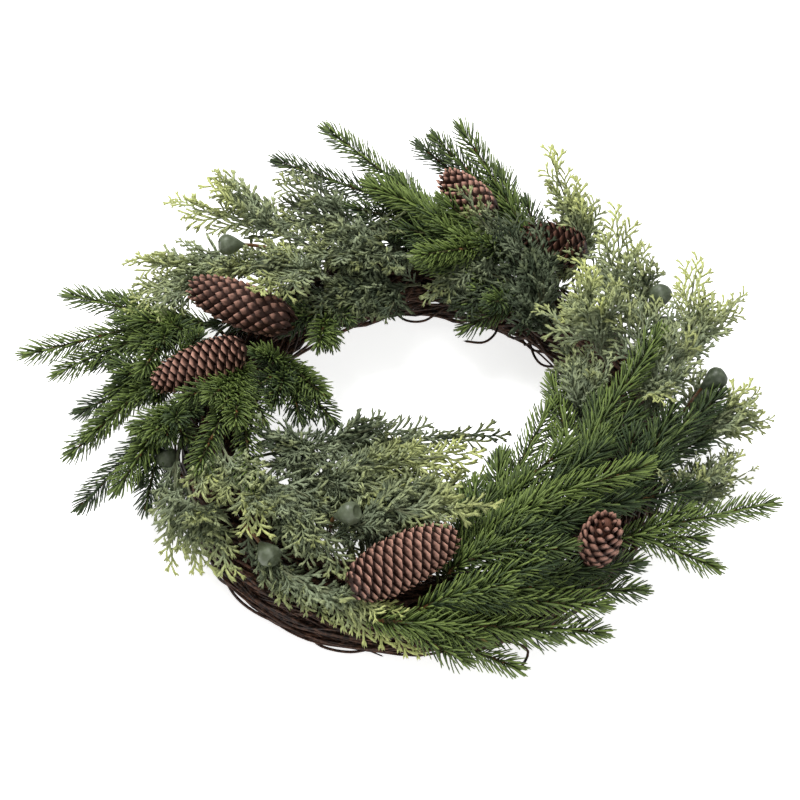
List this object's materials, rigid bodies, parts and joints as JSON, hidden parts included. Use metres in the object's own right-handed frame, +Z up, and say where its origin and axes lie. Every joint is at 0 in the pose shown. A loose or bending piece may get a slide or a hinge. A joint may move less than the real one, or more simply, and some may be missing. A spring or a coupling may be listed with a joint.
{
  "type": "evergreen wreath",
  "caption": "Round wreath of spruce sprigs, cedar sprays, cones and gum pods set in a base of wound vines, lying flat.",
  "frame": {"origin": "on the surface that the wreath lies on, under the middle of its outline", "axes": "+Z up, out of the surface; +X to the viewer's right along the longest extent; +Y away from the viewer; the foliage is laid anticlockwise seen from +Z"},
  "size_m": [0.5816, 0.4954, 0.145],
  "materials": {
    "vine": "dry dark brown vine, rough bark",
    "spruce": "fresh green needles with a soft sheen",
    "cedar": "matt grey-green scaly twigs with lime tips",
    "cone": "dry red-brown scales, paler at the lips",
    "pod": "smooth grey-green skin with a waxy bloom"
  },
  "bodies": {
    "root": {"twig_ring": "vine", "spruce_back_a": "spruce", "spruce_back_b": "spruce", "spruce_back_c": "spruce", "spruce_back_d": "spruce", "spruce_back_e": "spruce", "spruce_front_a": "spruce", "spruce_front_b": "spruce", "spruce_front_c": "spruce", "spruce_left_a": "spruce", "spruce_left_b": "spruce", "spruce_left_c": "spruce", "spruce_left_d": "spruce", "spruce_left_e": "spruce", "spruce_left_f": "spruce", "spruce_right_a": "spruce", "spruce_right_b": "spruce", "spruce_right_c": "spruce", "spruce_right_d": "spruce", "spruce_right_e": "spruce", "cedar_back_a": "cedar", "cedar_back_b": "cedar", "cedar_back_c": "cedar", "cedar_back_d": "cedar", "cedar_back_e": "cedar", "cedar_back_f": "cedar", "cedar_back_g": "cedar", "cedar_back_h": "cedar", "cedar_back_i": "cedar", "cedar_front_a": "cedar", "cedar_front_b": "cedar", "cedar_front_c": "cedar", "cedar_front_d": "cedar", "cedar_front_e": "cedar", "cedar_left_a": "cedar", "cedar_left_b": "cedar", "cedar_left_c": "cedar", "cedar_left_d": "cedar", "cedar_right_a": "cedar", "cedar_right_b": "cedar", "cedar_right_c": "cedar", "cedar_right_d": "cedar", "cedar_right_e": "cedar", "cedar_right_f": "cedar", "cedar_right_g": "cedar", "cedar_right_h": "cedar", "cedar_right_i": "cedar", "cedar_right_j": "cedar", "cone_back_left": "cone", "cone_back_right": "cone", "cone_front": "cone", "cone_left_lower": "cone", "cone_left_upper": "cone", "cone_right": "cone", "pod_front_left": "pod", "pod_front_right": "pod", "pod_left": "pod", "pods_back": "pod", "pods_right_lower": "pod", "pods_right_upper": "pod"}
  },
  "joints": []
}
